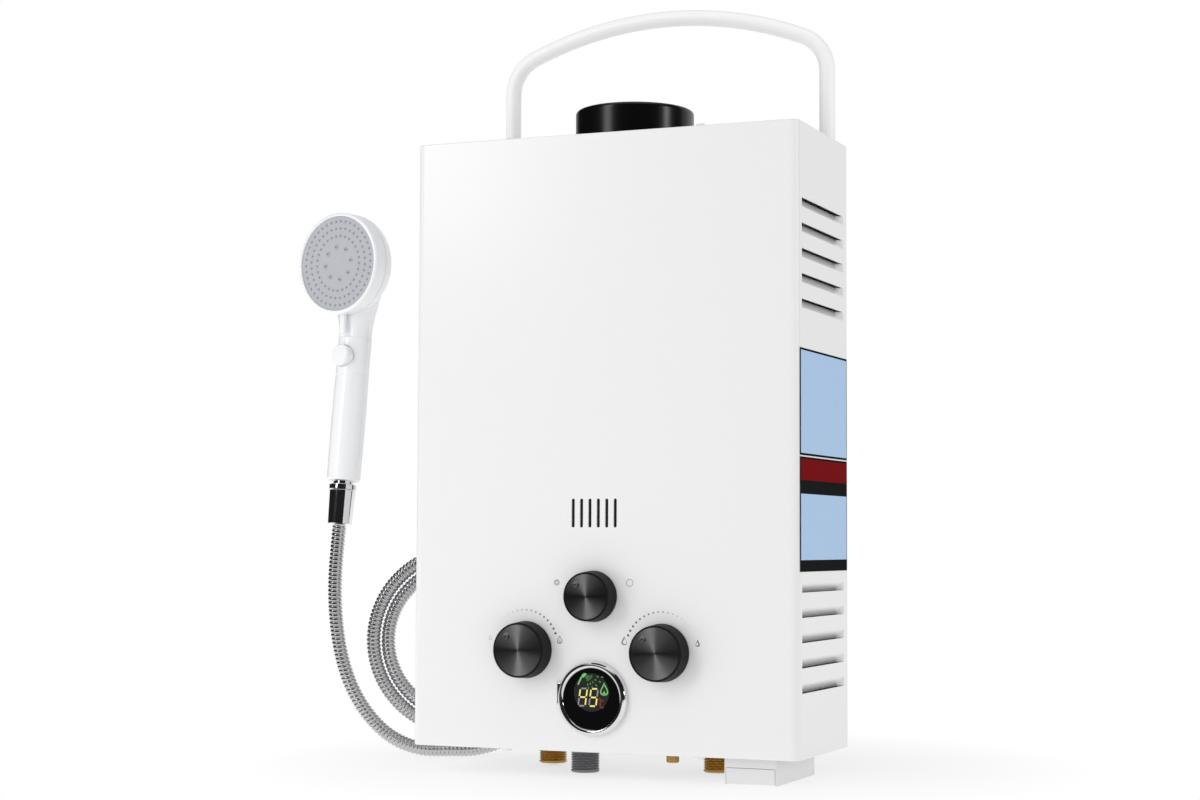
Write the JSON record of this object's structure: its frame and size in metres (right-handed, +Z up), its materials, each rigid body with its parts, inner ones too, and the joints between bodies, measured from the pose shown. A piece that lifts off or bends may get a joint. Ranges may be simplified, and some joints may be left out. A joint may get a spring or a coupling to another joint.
{
  "type": "portable gas water heater",
  "caption": "White sheet-steel portable gas water heater with front knobs, round display, folding carry handle, top flue and a shower handset on a coiled metal hose.",
  "frame": {"origin": "centre of the four wall screw holes, in the plane of the wall that the rear brackets meet", "axes": "+Z up, front panel faces -Y, +Y into the wall, +X to the right seen from the front"},
  "size_m": [0.437, 0.1933, 0.575],
  "materials": {
    "white_enamel": "gloss white powder coat",
    "galvanised_steel": "zinc-coated sheet",
    "zinc_screw": "bright zinc plate",
    "black_enamel": "gloss black heat-proof enamel",
    "black_plastic": "fine satin",
    "spun_metal": "black anodised, turned in fine rings",
    "brass": "machined",
    "die_cast": "raw die casting",
    "aluminium_tube": "drawn tube",
    "stainless_sheet": "pressed stainless sheet",
    "copper": "bare copper",
    "bright_chrome": "polished",
    "lens_black": "polished clear over black",
    "module_plastic": "moulded",
    "mica": "clear sheet",
    "ceramic": "glazed",
    "white_plastic": "moulded, semi-gloss",
    "cell_jacket": "plain grey jacket",
    "contact_strip": "nickel plated",
    "handset_white": "moulded, gloss",
    "spray_grey": "satin",
    "hose_steel": "bright stripwound steel"
  },
  "bodies": {
    "heater": {"back_plate": "galvanised_steel", "battery_box": "white_plastic", "battery_cells": "cell_jacket", "battery_contacts": "contact_strip", "bottom_plate": "galvanised_steel", "burner_bars": "stainless_sheet", "burner_frame": "galvanised_steel", "cold_inlet": "brass", "cold_pipe": "copper", "cover_screws": "zinc_screw", "display_bezel": "bright_chrome", "display_lens": "lens_black", "display_module": "module_plastic", "drain_plug": "brass", "flame_sensor": "ceramic", "flame_window": "mica", "flue_collar": "black_enamel", "flue_hood": "galvanised_steel", "front_cover": "white_enamel", "gas_inlet": "die_cast", "gas_manifold": "aluminium_tube", "gas_valve": "die_cast", "handle_brackets": "galvanised_steel", "handle_pivot_screws": "zinc_screw", "handset_grip": "handset_white", "handset_head": "handset_white", "handset_nut": "bright_chrome", "handset_valve_body": "handset_white", "heat_exchanger_core": "copper", "heat_exchanger_shell": "copper", "hose_end_nut": "bright_chrome", "hot_outlet": "brass", "hot_pipe": "copper", "overheat_thermostat": "module_plastic", "shower_hose_coil": "hose_steel", "shower_hose_lead": "hose_steel", "spark_controller": "module_plastic", "spark_electrode": "ceramic", "top_plate": "galvanised_steel", "wall_brackets": "galvanised_steel", "water_flow_switch": "module_plastic", "water_valve": "brass"},
    "handle": {"carry_handle": "white_enamel"},
    "gas_dial": {"gas_knob": "black_plastic", "gas_knob_disc": "spun_metal", "gas_spindle": "brass"},
    "season_dial": {"season_knob": "black_plastic", "season_knob_disc": "spun_metal", "season_spindle": "brass"},
    "water_dial": {"water_knob": "black_plastic", "water_knob_disc": "spun_metal", "water_spindle": "brass"},
    "battery_door": {"battery_lid": "white_plastic", "lid_contact": "contact_strip"},
    "spray_selector": {"spray_ring": "handset_white", "spray_plate": "spray_grey"},
    "stop_valve": {"stop_button": "handset_white"}
  },
  "joints": [
    {"name": "handle_fold", "type": "hinge", "parent": "heater", "child": "handle", "pos_m": [0, -0.008, 0.18], "axis": [-1, 0, 0], "range_deg": [0, 180]},
    {"name": "gas_dial_turn", "type": "hinge", "parent": "heater", "child": "gas_dial", "pos_m": [-0.056, -0.137, -0.149], "axis": [0, 1, 0], "range_deg": [-34, 114]},
    {"name": "season_dial_turn", "type": "hinge", "parent": "heater", "child": "season_dial", "pos_m": [-0.004, -0.137, -0.1105], "axis": [0, 1, 0], "range_deg": [-34, 114]},
    {"name": "water_dial_turn", "type": "hinge", "parent": "heater", "child": "water_dial", "pos_m": [0.048, -0.137, -0.149], "axis": [0, 1, 0], "range_deg": [-34, 114]},
    {"name": "battery_lid_hinge", "type": "hinge", "parent": "heater", "child": "battery_door", "pos_m": [0.1075, -0.04, -0.2365], "axis": [1, 0, 0], "range_deg": [0, 95]},
    {"name": "spray_selector_turn", "type": "hinge", "parent": "heater", "child": "spray_selector", "pos_m": [-0.2513, -0.07124, 0.1446], "axis": [0.1994, 0.9799, 0], "range_deg": [-25, 25]},
    {"name": "stop_button_slide", "type": "slide", "parent": "heater", "child": "stop_valve", "axis": [0.1982, 0.974, -0.1097], "range_m": [0, 0.005]}
  ]
}
